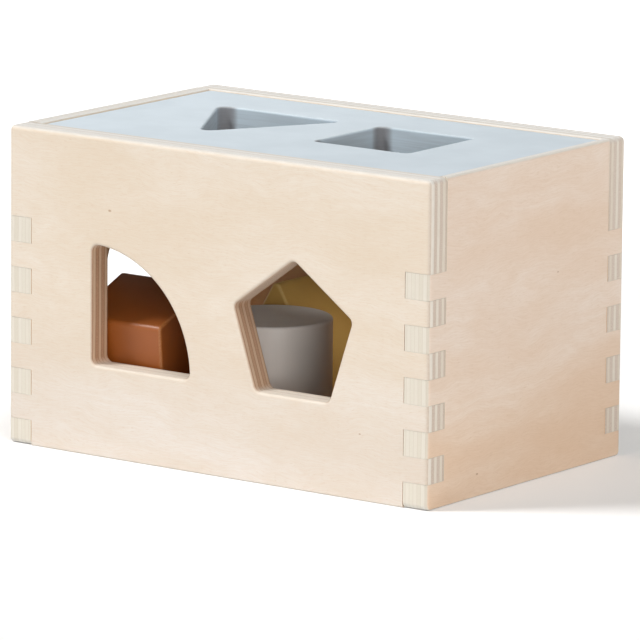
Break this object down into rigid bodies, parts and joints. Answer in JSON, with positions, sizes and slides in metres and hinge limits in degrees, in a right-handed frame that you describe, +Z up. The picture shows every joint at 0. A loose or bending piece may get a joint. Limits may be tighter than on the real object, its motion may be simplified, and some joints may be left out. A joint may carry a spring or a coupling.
{
  "type": "shape sorter box",
  "caption": "Finger-jointed plywood box with shaped holes in its front, end and lift-off painted lid, holding loose wooden blocks that match the holes.",
  "frame": {"origin": "middle of the box's underside, on the surface it stands on", "axes": "+X along the front towards the plain end wall, +Y from the front wall to the back wall, +Z up"},
  "size_m": [0.18, 0.117, 0.113],
  "materials": {
    "plywood": "sanded, clear matt lacquer",
    "lid_paint": "pale blue-grey satin paint on plywood",
    "brown_stain": "brown satin paint",
    "grey_paint": "warm grey satin paint",
    "olive_paint": "olive satin paint",
    "slate_paint": "slate blue satin paint",
    "clay_paint": "clay red satin paint"
  },
  "bodies": {
    "box": {"front_wall": "plywood", "back_wall": "plywood", "left_wall": "plywood", "right_wall": "plywood", "floor_panel": "plywood"},
    "lid": {"lid_panel": "lid_paint"},
    "pentagon": {"pentagon_block": "brown_stain"},
    "cylinder": {"cylinder_block": "grey_paint"},
    "triangle": {"triangle_block": "olive_paint"},
    "square": {"square_block": "slate_paint"},
    "quarter": {"quarter_block": "clay_paint"}
  },
  "joints": [
    {"name": "lid_lift", "type": "slide", "parent": "box", "child": "lid", "axis": [0, 0, 1], "range_m": [0, 0.06]},
    {"name": "pentagon_lift", "type": "slide", "parent": "box", "child": "pentagon", "axis": [0, 0, 1], "range_m": [0, 0.04]},
    {"name": "cylinder_lift", "type": "slide", "parent": "box", "child": "cylinder", "axis": [0, 0, 1], "range_m": [0, 0.05]},
    {"name": "triangle_lift", "type": "slide", "parent": "box", "child": "triangle", "axis": [0, 0, 1], "range_m": [0, 0.045]},
    {"name": "square_lift", "type": "slide", "parent": "box", "child": "square", "axis": [0, 0, 1], "range_m": [0, 0.05]},
    {"name": "quarter_lift", "type": "slide", "parent": "box", "child": "quarter", "axis": [0, 0, 1], "range_m": [0, 0.05]}
  ]
}
